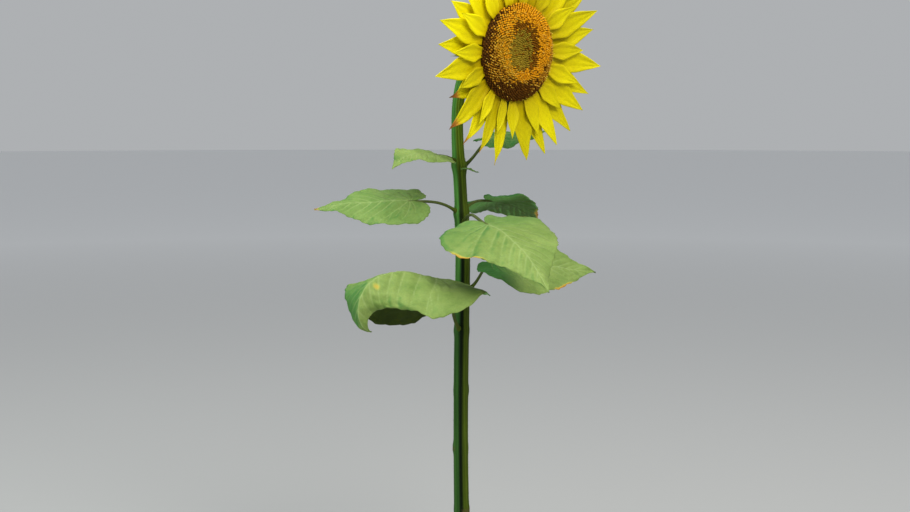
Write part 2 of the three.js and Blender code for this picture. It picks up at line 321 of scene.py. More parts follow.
def petal_material():
    """Yellow, deeper at the foot, with streaks along the petal, painted brighter at the upper left as if
    sunlit, and ragged brown where it has withered.
    """
    mat, tree, shader = material("petal_yellow", roughness=0.6, specular=0.1, subsurface=0.1)
    along, sere, tone_and_painted_light = attribute(tree, "petal")
    streak = noise(tree, 26, 4, stretch=(9.0, 0.5, 1), coordinates="UV")
    base = ramp(tree, along, [(0.0, (0.42, 0.28, 0.0)), (0.22, (0.58, 0.475, 0.0)),
                              (0.6, (0.68, 0.595, 0.0)), (1.0, (0.66, 0.595, 0.002))])
    dim = ramp(tree, maths(tree, "ADD", streak, maths(tree, "MULTIPLY", tone_and_painted_light, 0.8)),
               [(0.4, (0.66, 0.63, 0.6)), (1.3, (1.32, 1.30, 1.0))])
    colour = mix(tree, 1.0, base, dim, "MULTIPLY")
    ragged = maths(tree, "ADD", sere, off_middle(tree, streak, 0.35))
    brown = ramp(tree, ragged, [(0.3, (0.55, 0.30, 0.02)), (0.6, (0.30, 0.10, 0.015)),
                                (0.9, (0.14, 0.05, 0.015))])
    amount = ramp(tree, ragged, [(0.18, grey(0)), (0.42, grey(1))])
    colour = mix(tree, amount, colour, brown)
    tree.links.new(colour, shader.inputs["Base Color"])
    fine = noise(tree, 60, 3, stretch=(16.0, 0.6, 1), coordinates="UV")
    vary_roughness(tree, shader, fine, 0.42, 0.62)
    bump(tree, shader, fine, 0.35, 0.0006)
    return mat


def plain_material(name, dark, light, scale=300, roughness=0.7, strength=0.4):
    """A cloudy mix of two colours."""
    mat, tree, shader = material(name, roughness=roughness)
    cloud = noise(tree, scale, 4)
    tree.links.new(ramp(tree, cloud, [(0.3, dark), (0.7, light)]), shader.inputs["Base Color"])
    vary_roughness(tree, shader, cloud, roughness - 0.1, roughness + 0.12)
    bump(tree, shader, cloud, strength, 0.0005)
    return mat


LEAF_TOP = leaf_material(
    "leaf_upper_side", dark=(0.112, 0.186, 0.040), light=(0.205, 0.282, 0.080),
    vein_colour=(0.245, 0.320, 0.115), painted_teal_light_colour=(0.034, 0.160, 0.036), relief=0.2)
# painted shade: the under side's dark colours stand for shade, and its bright teal for sky light
LEAF_UNDER = leaf_material(
    "leaf_under_side", dark=(0.013, 0.024, 0.002), light=(0.040, 0.064, 0.008),
    vein_colour=(0.070, 0.100, 0.022), painted_teal_light_colour=(0.200, 0.460, 0.130), relief=0.4)
STEM_GREEN = stem_material("stem_green")
PETIOLE_GREEN = stem_material("petiole_green")
PETAL = petal_material()
BRACT_GREEN = stem_material("bract_green")
HAIR = plain_material("stem_hairs", (0.06, 0.09, 0.025), (0.12, 0.16, 0.05),
                      scale=200, roughness=0.8, strength=0.1)
DISC_DARK = plain_material("disc_brown", (0.030, 0.010, 0.001), (0.090, 0.036, 0.004))
FLORET_BROWN = plain_material("floret_brown", (0.300, 0.125, 0.005), (0.520, 0.245, 0.012))
FLORET_UMBER = plain_material("floret_umber", (0.060, 0.018, 0.001), (0.150, 0.055, 0.003))
FLORET_RUST = plain_material("floret_rust", (0.190, 0.070, 0.003), (0.330, 0.130, 0.006))
FLORET_ORANGE = plain_material("floret_orange", (0.560, 0.210, 0.003), (0.850, 0.400, 0.008))
FLORET_AMBER = plain_material("floret_amber", (0.440, 0.210, 0.006), (0.680, 0.360, 0.016))
FLORET_OLIVE = plain_material("floret_olive", (0.220, 0.150, 0.008), (0.420, 0.290, 0.024))
FLORET_GOLD = plain_material("floret_gold", (0.600, 0.380, 0.040), (0.850, 0.600, 0.100))


# ---- meshes
def make_piece(name, verts, faces, mats, colours=None, uv=None, face_mats=None, smooth=True):
    """verts in metres; faces an (n, 3 or 4) array or a list of them; colours {attribute: per-vertex rgb}."""
    faces = [np.asarray(f, dtype=np.int64) for f in (faces if isinstance(faces, list) else [faces])]
    loops = np.concatenate([f.ravel() for f in faces]).astype(np.int32)
    totals = np.concatenate([np.full(len(f), f.shape[1]) for f in faces]).astype(np.int32)
    starts = np.concatenate([[0], np.cumsum(totals)[:-1]]).astype(np.int32)
    mesh = bpy.data.meshes.new(name)
    mesh.vertices.add(len(verts))
    mesh.vertices.foreach_set("co", np.asarray(verts, dtype=np.float32).ravel())
    mesh.loops.add(len(loops))
    mesh.loops.foreach_set("vertex_index", loops)
    mesh.polygons.add(len(totals))
    mesh.polygons.foreach_set("loop_start", starts)
    mesh.polygons.foreach_set("loop_total", totals)
    for mat in mats:
        mesh.materials.append(mat)
    if face_mats is not None:
        mesh.polygons.foreach_set("material_index", np.asarray(face_mats, dtype=np.int32))
    mesh.update(calc_edges=True)
    mesh.validate()
    mesh.polygons.foreach_set("use_smooth", np.full(len(mesh.polygons), smooth))
    for key, values in (colours or {}).items():
        layer = mesh.color_attributes.new(key, "FLOAT_COLOR", "POINT")
        rgba = np.ones((len(verts), 4), dtype=np.float32)
        rgba[:, :3] = values
        layer.data.foreach_set("color", rgba.ravel())
    if uv is not None:
        layer = mesh.uv_layers.new(name="OFBake")
        layer.data.foreach_set("uv", np.asarray(uv, dtype=np.float32)[loops].ravel())
    piece = bpy.data.objects.new(name, mesh)
    bpy.context.scene.collection.objects.link(piece)
    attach(piece, "root")
    return piece


def grid_faces(rows, columns, wrap=False, flip=False, offset=0):
    """Quads of a grid of rows x columns points; wrap joins the last column to the first."""
    i = np.arange(rows - 1)[:, None]
    j = np.arange(columns if wrap else columns - 1)[None, :]
    k = (j + 1) % columns
    quads = np.stack([i * columns + j, i * columns + k, (i + 1) * columns + k, (i + 1) * columns + j], -1)
    quads = quads.reshape(-1, 4) + offset
    return quads[:, ::-1] if flip else quads


def tube_faces(rows, sides):
    """Walls of a tube, and fans at its ends round two more points: the foot's middle, then the top's."""
    j = np.arange(sides)
    k = (j + 1) % sides
    top = (rows - 1) * sides
    foot_middle = rows * sides
    foot = np.stack([np.full(sides, foot_middle), k, j], -1)
    cap = np.stack([np.full(sides, foot_middle + 1), top + j, top + k], -1)
    return [grid_faces(rows, sides, wrap=True), foot, cap]


def shell_faces(rows, columns, flip):
    """A thin shell's upper grid, its lower grid, whose points follow the upper one's, and the rim between."""
    count = rows * columns
    loop = np.concatenate([
        np.arange(columns),
        np.arange(1, rows) * columns + columns - 1,
        (rows - 1) * columns + np.arange(columns - 2, -1, -1),
        np.arange(rows - 2, 0, -1) * columns,
    ])
    after = np.roll(loop, -1)
    rim = np.stack([after, loop, loop + count, after + count], -1)
    return [
        grid_faces(rows, columns, flip=flip),
        grid_faces(rows, columns, flip=not flip, offset=count),
        rim[:, ::-1] if flip else rim,
    ]


def shell_uv(u, v):
    """The upper side in the map's left half, and the lower side in its right half."""
    return np.concatenate([np.stack([u, v], -1).reshape(-1, 2), np.stack([u + 0.5, v], -1).reshape(-1, 2)])


def surface_normals(body):
    """Unit normals of a grid of points."""
    normals = np.cross(np.gradient(body, axis=0), np.gradient(body, axis=1))
    return normals / (np.linalg.norm(normals, axis=-1, keepdims=True) + TINY)


def spin_matrix(turn):
    """For rows of points on its left: a turn about +Z."""
    return np.array([[math.cos(turn), math.sin(turn), 0], [-math.sin(turn), math.cos(turn), 0], [0, 0, 1]])


def circle(count):
    return np.linspace(0, 2 * math.pi, count, endpoint=False)


def tube_frames(points, side):
    """Side and front directions that turn as little as they can along a path."""
    tangents = unit(np.gradient(points, axis=0))
    sides = np.zeros_like(points)
    fronts = np.zeros_like(points)
    for i, tangent in enumerate(tangents):
        side = unit(side - tangent * side.dot(tangent))
        sides[i] = side
        fronts[i] = np.cross(tangent, side)
    return sides, fronts


def outward(angle, side, front):
    """Directions round a tube, one row for each place along it."""
    return (np.cos(angle)[None, :, None] * side[:, None, :]
            + np.sin(angle)[None, :, None] * front[:, None, :])


def bezier(a, b, c, d, t):
    t = np.asarray(t)[..., None]
    a, b, c, d = (np.array(p) for p in (a, b, c, d))
    return (1 - t) ** 3 * a + 3 * t * (1 - t) ** 2 * b + 3 * t * t * (1 - t) * c + t ** 3 * d


def even_path(points, count):
    """The same path with points at even distances."""
    steps = np.linalg.norm(np.diff(points, axis=0), axis=1)
    reach = np.concatenate([[0], np.cumsum(steps)])
    wanted = np.linspace(0, reach[-1], count)
    return np.stack([np.interp(wanted, reach, points[:, k]) for k in range(3)], -1), wanted


# ---- stem and neck
def stem_centre(z):
    """The middle of the stem at a height, which leans to the left near the top and wavers a little."""
    z = np.asarray(z, dtype=float)
    lean = -6.6 * smoothstep(z, 660, STEM_TOP_Z)
    waver = 1.6 * np.sin(z / 95) * smoothstep(z, 0, 120) * (1 - smoothstep(z, 780, STEM_TOP_Z))
    return np.stack([lean + waver, 0.8 * waver, z], -1)


def stem_radius(z):
    z = np.asarray(z, dtype=float)
    flare = (STEM_RADIUS_FLARE - STEM_RADIUS_BASE) * np.exp(-z / 22)
    base = STEM_RADIUS_BASE + (STEM_RADIUS_MIDDLE - STEM_RADIUS_BASE) * np.clip(z / 380, 0, 1)
    leafy = (STEM_RADIUS_MIDDLE - STEM_RADIUS_LEAFY) * smoothstep(z, 660, 780)
    top = (STEM_RADIUS_LEAFY - STEM_RADIUS_TOP) * smoothstep(z, 780, STEM_TOP_Z)
    return base + flare - leafy - top


HEAD_NORMAL = vec(
    math.cos(rad(HEAD_TURN)) * math.cos(rad(HEAD_NOD)),
    math.sin(rad(HEAD_TURN)) * math.cos(rad(HEAD_NOD)),
    -math.sin(rad(HEAD_NOD)),
)
HEAD_LEVEL = unit(np.cross(UP, HEAD_NORMAL))
HEAD_LEVEL_UP = np.cross(HEAD_NORMAL, HEAD_LEVEL)
HEAD_RIGHT = math.cos(rad(HEAD_ROLL)) * HEAD_LEVEL + math.sin(rad(HEAD_ROLL)) * HEAD_LEVEL_UP
HEAD_UP = np.cross(HEAD_NORMAL, HEAD_RIGHT)
HEAD_AXES = np.stack([HEAD_RIGHT, HEAD_UP, HEAD_NORMAL])


def head_place(points):
    """Points in the head's frame (mm, +Z out of the face) to the row frame (m)."""
    return (HEAD_CENTRE + points @ HEAD_AXES) * MM


def leaf_direction(leaf):
    """The level direction from the stem to a leaf's foot."""
    return unit((vec(*leaf["at"]) - stem_centre(leaf["node"])) * vec(1, 1, 0))


def stem_path():
    """Even places up the stem and round the neck to the back of the head, and their distances along it."""
    lower = stem_centre(np.linspace(0, STEM_TOP_Z, 300))
    back = HEAD_CENTRE - HEAD_NORMAL * (RECEPTACLE_DEPTH + 1.0)
    start = lower[-1]
    neck = bezier(start, start + vec(0, 0, 62), back - HEAD_NORMAL * 52, back, np.linspace(0, 1, 80))
    path = np.concatenate([lower[:-1], neck])
    path, reach = even_path(path, STEM_ROWS)
    path[0, 2] = 0
    return path, reach


def stem_tint(path, reach, out_x, rib, worn):
    """Painted light and shade: sky-lit blue-green on the left, dark shade in the middle and sunlit olive on
    the right; browner on scars and at the foot.
    """
    z = path[:, 2]
    high = smoothstep(z, 640, 880)[:, None]
    sunny = smoothstep(out_x, 0.05, 0.45)[..., None]
    shady = (smoothstep(-out_x, 0.12, 0.5) * (0.40 + 0.60 * smoothstep(z, 560, 720)[:, None]))[..., None]
    # painted light: the olive is lighter near the top, under the head
    olive = STEM_OLIVE * (1 + 1.4 * smoothstep(z, 770, 840))[:, None, None]
    middle = STEM_PAINTED_SHADE + (olive - STEM_PAINTED_SHADE) * 0.85 * (high ** 2)[..., None]
    tint = middle + (olive - middle) * sunny
    tint = tint + (STEM_PAINTED_SKY_TEAL - tint) * shady
    # painted shade: darker in the grooves between the ribs
    tint = tint * (0.72 + 0.42 * rib)[..., None]
    worn = np.clip(worn, 0, 1) + 0.55 * smoothstep(-reach, -70, 0)[:, None] * (0.4 + 0.6 * rib)
    tint = tint + (STEM_BROWN - tint) * worn[..., None]
    return np.concatenate([tint.reshape(-1, 3), [STEM_BROWN, STEM_OLIVE]])


def build_stem():
    """The stem and neck as one ribbed tube, swollen where leaves and old leaves join it."""
    path, reach = stem_path()
    on_neck = smoothstep(reach, STEM_TOP_Z, reach[-1])
    radius = np.where(reach < STEM_TOP_Z, stem_radius(path[:, 2]),
                      STEM_RADIUS_TOP + (NECK_RADIUS_TOP - STEM_RADIUS_TOP) * on_neck ** 1.6)
    side, front = tube_frames(path, vec(1, 0, 0))
    angle = circle(STEM_SIDES)
    turn = angle[None, :] + 0.0009 * reach[:, None] + 0.10 * np.sin(reach / 70)[:, None]
    rib = np.abs(np.cos(turn * STEM_RIBS + 0.7 * np.sin(turn * 2 + 1.0))) ** 0.8
    minor = np.sin(turn * 23 + reach[:, None] / 60)
    depth = (0.42 + 0.25 * smoothstep(reach, 40, 300) - 0.2 * on_neck)[:, None]
    r = radius[:, None] + depth * (rib - 0.62) * 1.5 + 0.06 * minor
    worn = np.zeros_like(r)
    around = outward(angle, side, front)
    for leaf in LEAVES:
        facing = around @ leaf_direction(leaf)
        near = np.exp(-(((reach - leaf["node"] + 3) / 7.5) ** 2))[:, None]
        r = r + near * (0.7 + 1.6 * np.clip(facing, 0, 1) ** 2)
    for height, heading in OLD_NODES:
        facing = np.cos(angle - rad(heading))[None, :]
        up = (reach - height)[:, None]
        near = np.exp(-((up / 7.0) ** 2))
        scar = np.exp(-((up / 2.6) ** 2)) * smoothstep(facing, 0.62, 0.9)
        r = r + near * (0.5 + 1.3 * np.clip(facing, 0, 1) ** 2) - 0.5 * scar
        worn = worn + 0.85 * scar
    foot = np.exp(-reach / 14)[:, None]
    r = r + foot * 0.8 * np.cos(angle * 5 + 0.6)[None, :]
    ring = path[:, None, :] + r[..., None] * around
    ring[0, :, 2] = 0
    ring[..., 2] = np.maximum(ring[..., 2], 0)
    verts = np.concatenate([ring.reshape(-1, 3), [path[0]], [path[-1]]])
    tint = stem_tint(path, reach, around[..., 0], rib, worn)
    piece = make_piece("stem_and_neck", verts * MM, tube_faces(STEM_ROWS, STEM_SIDES), [STEM_GREEN],
                       {"tint": tint})
    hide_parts("stem", "neck")
    return path, side, front, around, r


def build_stem_hairs(path, side, front, around, r, rng):
    """Short stiff hairs, standing off the stem and pointing a little downward: pyramids on three sides."""
    count = HAIR_COUNT
    row = rng.integers(12, STEM_ROWS - 6, count)
    column = rng.integers(0, STEM_SIDES, count)
    out = around[row, column]
    tangent = np.cross(side[row], front[row])
    root = path[row] + out * (r[row, column][:, None] - 0.15) + tangent * rng.uniform(-1, 1, (count, 1))
    length = rng.uniform(*HAIR_LENGTH, (count, 1))
    aim = unit(out + tangent * rng.uniform(-0.55, 0.1, (count, 1)) + rng.normal(0, 0.18, (count, 3)))
    tip = root + aim * length
    a = unit(np.cross(aim, tangent)) * HAIR_RADIUS
    b = np.cross(aim, a) * 0.87
    verts = np.stack([root + a, root - a * 0.5 + b, root - a * 0.5 - b, tip], 1).reshape(-1, 3)
    base = np.arange(count)[:, None] * 4
    faces = np.concatenate([base + [0, 1, 3], base + [1, 2, 3], base + [2, 0, 3], base + [2, 1, 0]])
    make_piece("stem_hairs", verts * MM, faces, [HAIR], smooth=False)


# ---- leaves
def lobe_curve(width, t):
    """From the foot, 0, back round the lobe to where it is widest, 1."""
    w = width / 0.42
    return bezier((0, 0), (-0.297, 0.04 * w), (-0.22, 0.4 * w), (0.15, 0.42 * w), t)


def outline(share, width):
    """Half outline of a heart-shaped blade, in shares of its length, from the lobe's back to the tip."""
    w = width / 0.42
    lobe = lobe_curve(width, 0.3 + 0.7 * np.clip(share / 0.4, 0, 1))
    front = bezier((0.15, 0.42 * w), (0.5, 0.44 * w), (0.68, 0.1 * w), (1, 0),
                   np.clip((share - 0.4) / 0.6, 0, 1))
    return np.where((share < 0.4)[..., None], lobe, front)


def midrib(leaf):
    """A function from distances along the midrib to places and directions on the drooping blade."""
    length = leaf["length"]
    heading = vec(math.cos(rad(leaf["heading"])), math.sin(rad(leaf["heading"])), 0)
    left = vec(-heading[1], heading[0], 0)
    s = np.linspace(0, 1, 400)
    pitch = rad(leaf["pitch"]) - rad(leaf["bend"]) * s ** leaf["droop"]
    along = np.cos(pitch)[:, None] * heading + np.sin(pitch)[:, None] * UP
    steps = (along[1:] + along[:-1]) / 2 * (length / (len(s) - 1))
    place = vec(*leaf["at"]) + np.concatenate([[np.zeros(3)], np.cumsum(steps, 0)])

    def at(u):
        share = np.clip(u / length, 0, 1)
        point = np.stack([np.interp(share, s, place[:, k]) for k in range(3)], -1)
        way = unit(np.stack([np.interp(share, s, along[:, k]) for k in range(3)], -1))
        point = point + np.minimum(u, 0)[..., None] * way
        up = np.cross(way, left)
        lean = rad(leaf["roll"]) + rad(leaf["twist"]) * share
        across = np.cos(lean)[..., None] * left + np.sin(lean)[..., None] * up
        return point, across, np.cross(way, across), way

    return at


def vein_curves(rng):
    """The veins of one half, in shares of the length: three from the foot, pinnate ones, and branches."""
    starts = [(0.004, 0, 122, 0.21), (0.006, 0, 84, 0.34), (0.02, 0, 50, 0.66), (0.17, 0, 47, 0.46),
              (0.29, 0, 45, 0.42), (0.41, 0, 42, 0.34), (0.52, 0, 40, 0.27), (0.62, 0, 38, 0.2),
              (0.71, 0, 36, 0.15), (0.8, 0, 34, 0.1)]
    curves = []
    for x, y, angle, length in starts:
        angle = rad(angle + rng.uniform(-3, 3))
        x += rng.uniform(-0.012, 0.012) * (x > 0.1)
        curves.append(curve_from(x, y, angle, length, 0.0052))
    main = curves[2][0]
    for index, turn, length in ((3, 34, 0.2), (6, 32, 0.17), (9, 30, 0.12)):
        start = main[index]
        way = main[index + 1] - main[index]
        curves.append(curve_from(start[0], start[1], math.atan2(way[1], way[0]) + rad(turn), length, 0.003))
    return curves


def curve_from(x, y, angle, length, width):
    """A vein that bends toward the tip and thins, as places and widths."""
    t = np.linspace(0, 1, 15)
    bend = angle * (1 - 0.42 * t)
    step = length / (len(t) - 1)
    path = np.cumsum(np.stack([np.cos(bend), np.sin(bend)], -1) * step, 0)
    return np.concatenate([[[x, y]], path[:-1] + [x, y]]), width * (1 - 0.75 * t)


def vein_field(x, y, curves):
    """Distance to the nearest vein, and how much a point lies on one, from 0 to 1."""
    nearest = np.full(x.shape, 1.0)
    mask = np.zeros(x.shape)
    for path, width in curves:
        for i in range(len(path) - 1):
            ax, ay = path[i]
            dx, dy = path[i + 1] - path[i]
            t = np.clip(((x - ax) * dx + (y - ay) * dy) / (dx * dx + dy * dy), 0, 1)
            distance = np.hypot(x - ax - t * dx, y - ay - t * dy)
            nearest = np.minimum(nearest, distance)
            strength = 0.45 + 0.55 * width[i] / width[0]
            mask = np.maximum(mask, np.exp(-((distance / width[i]) ** 2)) * strength)
    rib = 0.0085 * (1 - 0.7 * np.clip(x, 0, 1))
    nearest = np.minimum(nearest, np.abs(y))
    mask = np.maximum(mask, np.exp(-((y / rib) ** 2)) * (x > -0.005))
    return nearest, mask


def waves(x, y, rng, count, low, high):
    """Smooth noise from 0-mean sines with wavelengths between low and high."""
    total = np.zeros(x.shape)
    for _ in range(count):
        turn = rng.uniform(0, 2 * math.pi)
        k = 2 * math.pi / rng.uniform(low, high)
        total += np.sin(k * (x * math.cos(turn) + y * math.sin(turn)) + rng.uniform(0, 2 * math.pi))
    return total / math.sqrt(count)


def grid(rows, half):
    """Shares along a blade from foot to tip, and across it from -1 at one margin to 1 at the other."""
    return np.meshgrid(np.linspace(0, 1, rows), np.linspace(-1, 1, half * 2 + 1), indexing="ij")


def leaf_plan(width, share, spread, side, rng):
    """The flat blade, in shares of its length, with teeth along its margins."""
    rib = share ** 1.5
    reach = spread[..., None]
    flat = np.stack([rib, 0 * rib], -1) * (1 - reach) + outline(share, width) * reach
    # the first rows close the notch between the lobes
    pull = np.clip(1 - share / 0.14, 0, 1)[..., None] ** 2
    flat = flat + pull * (lobe_curve(width, 0.3 * spread) - outline(0 * share, width) * reach)
    along = share[:, 0]
    tangent = np.gradient(outline(along, width), axis=0)
    tangent /= np.linalg.norm(tangent, axis=1, keepdims=True) + TINY
    out = np.stack([-tangent[:, 1], tangent[:, 0]], -1)
    for which in (-1, 1):
        phase = rng.uniform(0, 1)
        saw = (along * LEAF_TEETH + phase + 0.18 * np.sin(9 * (along + phase))) % 1
        tooth = np.where(saw < 0.72, saw / 0.72, (1 - saw) / 0.28)
        size = TOOTH_DEPTH * tooth * smoothstep(along, 0.02, 0.1) * (1 - smoothstep(along, 0.85, 0.99))
        weight = np.where(side == which, spread ** 9, 0)
        flat = flat + (out * size[:, None])[:, None, :] * weight[..., None]
    return flat[..., 0], np.where(side == 0, 0, flat[..., 1])


def leaf_relief(length, x, y, share, spread, side, rng):
    """Heights in mm, puffed between the veins and rippled at the margins, and how far each point is vein."""
    right = vein_field(x, y, vein_curves(rng))
    left = vein_field(x, y, vein_curves(rng))
    nearest, vein = np.where(side < 0, right, left)
    scale = length / RELIEF_LENGTH
    inside = 1 - smoothstep(spread, 0.93, 1.0)
    height = 1.7 * scale * (1 - np.exp(-((nearest / 0.030) ** 2))) * inside
    height = height + 0.28 * scale * waves(x, y * side, rng, 9, 0.045, 0.09) * inside
    height = height + 0.9 * waves(x, y * side, rng, 5, 0.22, 0.4)
    tail = smoothstep(share, 0.0, 0.15) * (1 - smoothstep(share, 0.85, 1))
    for which in (-1, 1):
        slow, fast = rng.uniform(0, 2 * math.pi, 2)
        ripple = 2.6 * np.sin(2 * math.pi * 2.6 * share + slow)
        ripple = ripple + 1.3 * np.sin(2 * math.pi * 6.3 * share + fast)
        ripple = ripple * spread ** 2.2 * (0.35 + 0.65 * tail) * scale
        height = height + np.where(side == which, ripple, 0)
    return height, vein


def build_leaf(leaf, rng, rows=140, half=44, in_cad=True):
    share, across_share = grid(rows, half)
    spread = np.abs(across_share)
    side = np.sign(across_share)
    length = leaf["length"]
    x, y = leaf_plan(leaf["width"], share, spread, side, rng)
    height, vein = leaf_relief(length, x, y, share, spread, side, rng)
    fold = rad(leaf["fold"])
    point, across, normal, _ = midrib(leaf)(x * length)
    lift = height - math.sin(fold) * y * length
    body = point + across * (side * y * length * math.cos(fold))[..., None] + normal * lift[..., None]
    facing = surface_normals(body)
    sign = np.sign((facing * normal).sum(-1).mean())
    facing = facing * sign
    thick = LEAF_HALF_THICKNESS * (1 - 0.6 * spread ** 12)
    top = body + facing * (thick - 0.30 * vein)[..., None]
    on_midrib = np.abs(y) < 0.012
    under = body - facing * (thick + 0.75 * vein * (0.5 + 0.5 * on_midrib))[..., None]
    verts = np.concatenate([top.reshape(-1, 3), under.reshape(-1, 3)])
    faces = shell_faces(rows, top.shape[1], flip=sign < 0)
    sere = sere_field(leaf["name"], share, spread, side, x, y)
    # painted light and shade: teal amounts for each leaf near the foot and all over, and more where a side
    # faces left, away from the key light
    painted_teal_light = leaf.get("shade", 0) + leaf.get("painted_teal_light", 0) * (1 - smoothstep(x, -0.05, 0.3))
    paint = []
    for outside in (facing, -facing):
        painted_light_facing_left = smoothstep(-outside[..., 0], 0.10, 0.75)
        paint.append(np.stack([vein, sere, np.clip(painted_teal_light + 0.75 * painted_light_facing_left, 0, 0.9)], -1).reshape(-1, 3))
    uv = shell_uv(0.01 + 0.48 * (0.5 + 0.5 * side * (y / (leaf["width"] * 1.15))).clip(0, 1),
                  0.01 + 0.98 * ((x + 0.2) / 1.22).clip(0, 1))
    slots = np.repeat([0, 1, 0], [len(f) for f in faces])
    piece = make_piece("blade_" + leaf["name"], verts * MM, faces, [LEAF_TOP, LEAF_UNDER],
                       {"blade": np.concatenate(paint)}, uv, slots)
    if in_cad:
        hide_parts("leaf_" + leaf["name"])


# Yellowed places on a blade. Margins: left (1) or right (-1), the middle's share along it, reach along it,
# depth in from it, strength. Spots: shares of the length along and across, radius, strength.
SERE_MARGINS = {
    "middle_right": [(-1, 0.56, 0.12, 0.08, 0.58)],
    "lower_right": [(-1, 0.74, 0.10, 0.14, 0.60)],
    "upper_right": [(1, 0.90, 0.10, 0.9, 0.6), (-1, 0.84, 0.12, 0.5, 0.7)],
    "upper_left": [(1, 0.99, 0.02, 0.9, 0.9), (-1, 0.99, 0.02, 0.9, 0.9)],
    "lower_left": [(-1, 0.62, 0.07, 0.12, 0.6)],
}
SERE_SPOTS = {"lower_left": [(0.60, 0.05, 0.030, 0.34)]}


def sere_field(name, share, spread, side, x, y):
    field = np.zeros(share.shape)
    for which, centre, reach, depth, strength in SERE_MARGINS.get(name, []):
        along = np.exp(-(((share - centre) / reach) ** 2))
        inward = smoothstep(spread, 1 - depth, 1.0)
        field = np.maximum(field, np.where(side == which, strength * along * inward, 0))
    for u, v, radius, strength in SERE_SPOTS.get(name, []):
        away = np.hypot(x - u, y * side - v) / radius
        field = np.maximum(field, strength * np.exp(-away ** 2))
    return field


def build_petiole(leaf):
    """A leaf's stalk, thick at its foot and grooved above, which runs on a little way under the blade."""
    out = leaf_direction(leaf)
    root = stem_centre(leaf["node"]) + out * (stem_radius(leaf["node"]) - 1.5)
    point, _, normal, way = midrib(leaf)(np.array([0.0, PETIOLE_UNDER_BLADE]))
    end = point[0] - normal[0] * 1.3
    span = np.linalg.norm(end - root)
    path = bezier(root, root + out * span * 0.35 + UP * span * 0.22, end - way[0] * span * 0.3, end,
                  np.linspace(0, 1, 60))
    path = np.concatenate([path, [point[1] - normal[1] * 0.9]])
    path, reach = even_path(path, PETIOLE_ROWS)
    side, front = tube_frames(path, unit(np.cross(out, UP)))
    angle = circle(PETIOLE_SIDES)
    share = reach / reach[-1]
    size = 2.35 - 0.5 * share + 3.0 * np.exp(-reach / 4.5)
    size = size * (1 - 0.85 * smoothstep(reach, reach[-1] - PETIOLE_UNDER_BLADE, reach[-1]))
    upward = np.sign((front @ UP).mean())
    from_top = np.angle(np.exp(1j * (angle - upward * math.pi / 2)))
    groove = np.exp(-((from_top / 0.5) ** 2))[None, :]
    r = size[:, None] * (1 - 0.30 * groove * smoothstep(share, 0.0, 0.15)[:, None])
    r = r + 0.10 * np.cos(angle * 7)[None, :]
    ring = path[:, None, :] + r[..., None] * outward(angle, side, front)
    verts = np.concatenate([ring.reshape(-1, 3), [path[0]], [path[-1]]])
    fade = smoothstep(share, 0, 0.35)[:, None, None]
    # painted shade: the groove on top is darker
    tint = (STEM_OLIVE + (PETIOLE_TINT - STEM_OLIVE) * fade) * (1 - 0.25 * groove)[..., None]
    tint = np.concatenate([tint.reshape(-1, 3), [STEM_OLIVE, PETIOLE_TINT]])
    piece = make_piece("stalk_" + leaf["name"], verts * MM, tube_faces(PETIOLE_ROWS, PETIOLE_SIDES),
                       [PETIOLE_GREEN], {"tint": tint})
    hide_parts("petiole_" + leaf["name"])


# ---- flower head
# turn round the face, 0 to the right and 90 up; reach from the middle of the disc; the width, where it
# isn't the whorl's; and how far the tip has withered
RAY_FIELDS = ("turn", "reach", "width", "sere")
FRONT_RAYS = [
    (358, 158), (27, 153), (51, 149), (75, 150), (99, 146), (122, 149), (145, 145), (168, 147),
    (195, 148), (224, 149, 33, 0.8), (249, 143, 23, 0.45), (284, 146, 37), (307, 149, 31), (332, 150),
]
INNER_RAYS = [
    (6, 118), (38, 112), (64, 120), (90, 114), (112, 119), (136, 113), (160, 121), (184, 117),
    (206, 114, 23), (236, 116, 19), (257, 112, 17), (271, 113, 21), (296, 118), (322, 113), (345, 120),
]
BACK_RAYS = [
    (16, 147), (39, 149), (63, 145), (87, 148), (111, 146), (134, 147), (156, 140), (179, 138),
    (213, 124, 33, 0.9), (239, 146, 24, 0.6), (262, 151, 25, 0.35), (297, 149, 31), (320, 152),
    (343, 150),
]


def ray_half_width(share):
    """A petal's outline, as shares of its widest: narrower at the foot and pointed at the tip."""
    foot = 0.52 + 0.48 * smoothstep(share, 0.0, 0.42)
    toward_tip = np.clip((share - 0.36) / 0.64, 0, 1)
    return np.maximum(foot * (1 - toward_tip ** 1.75) * (1 - 0.22 * toward_tip), 0.012)


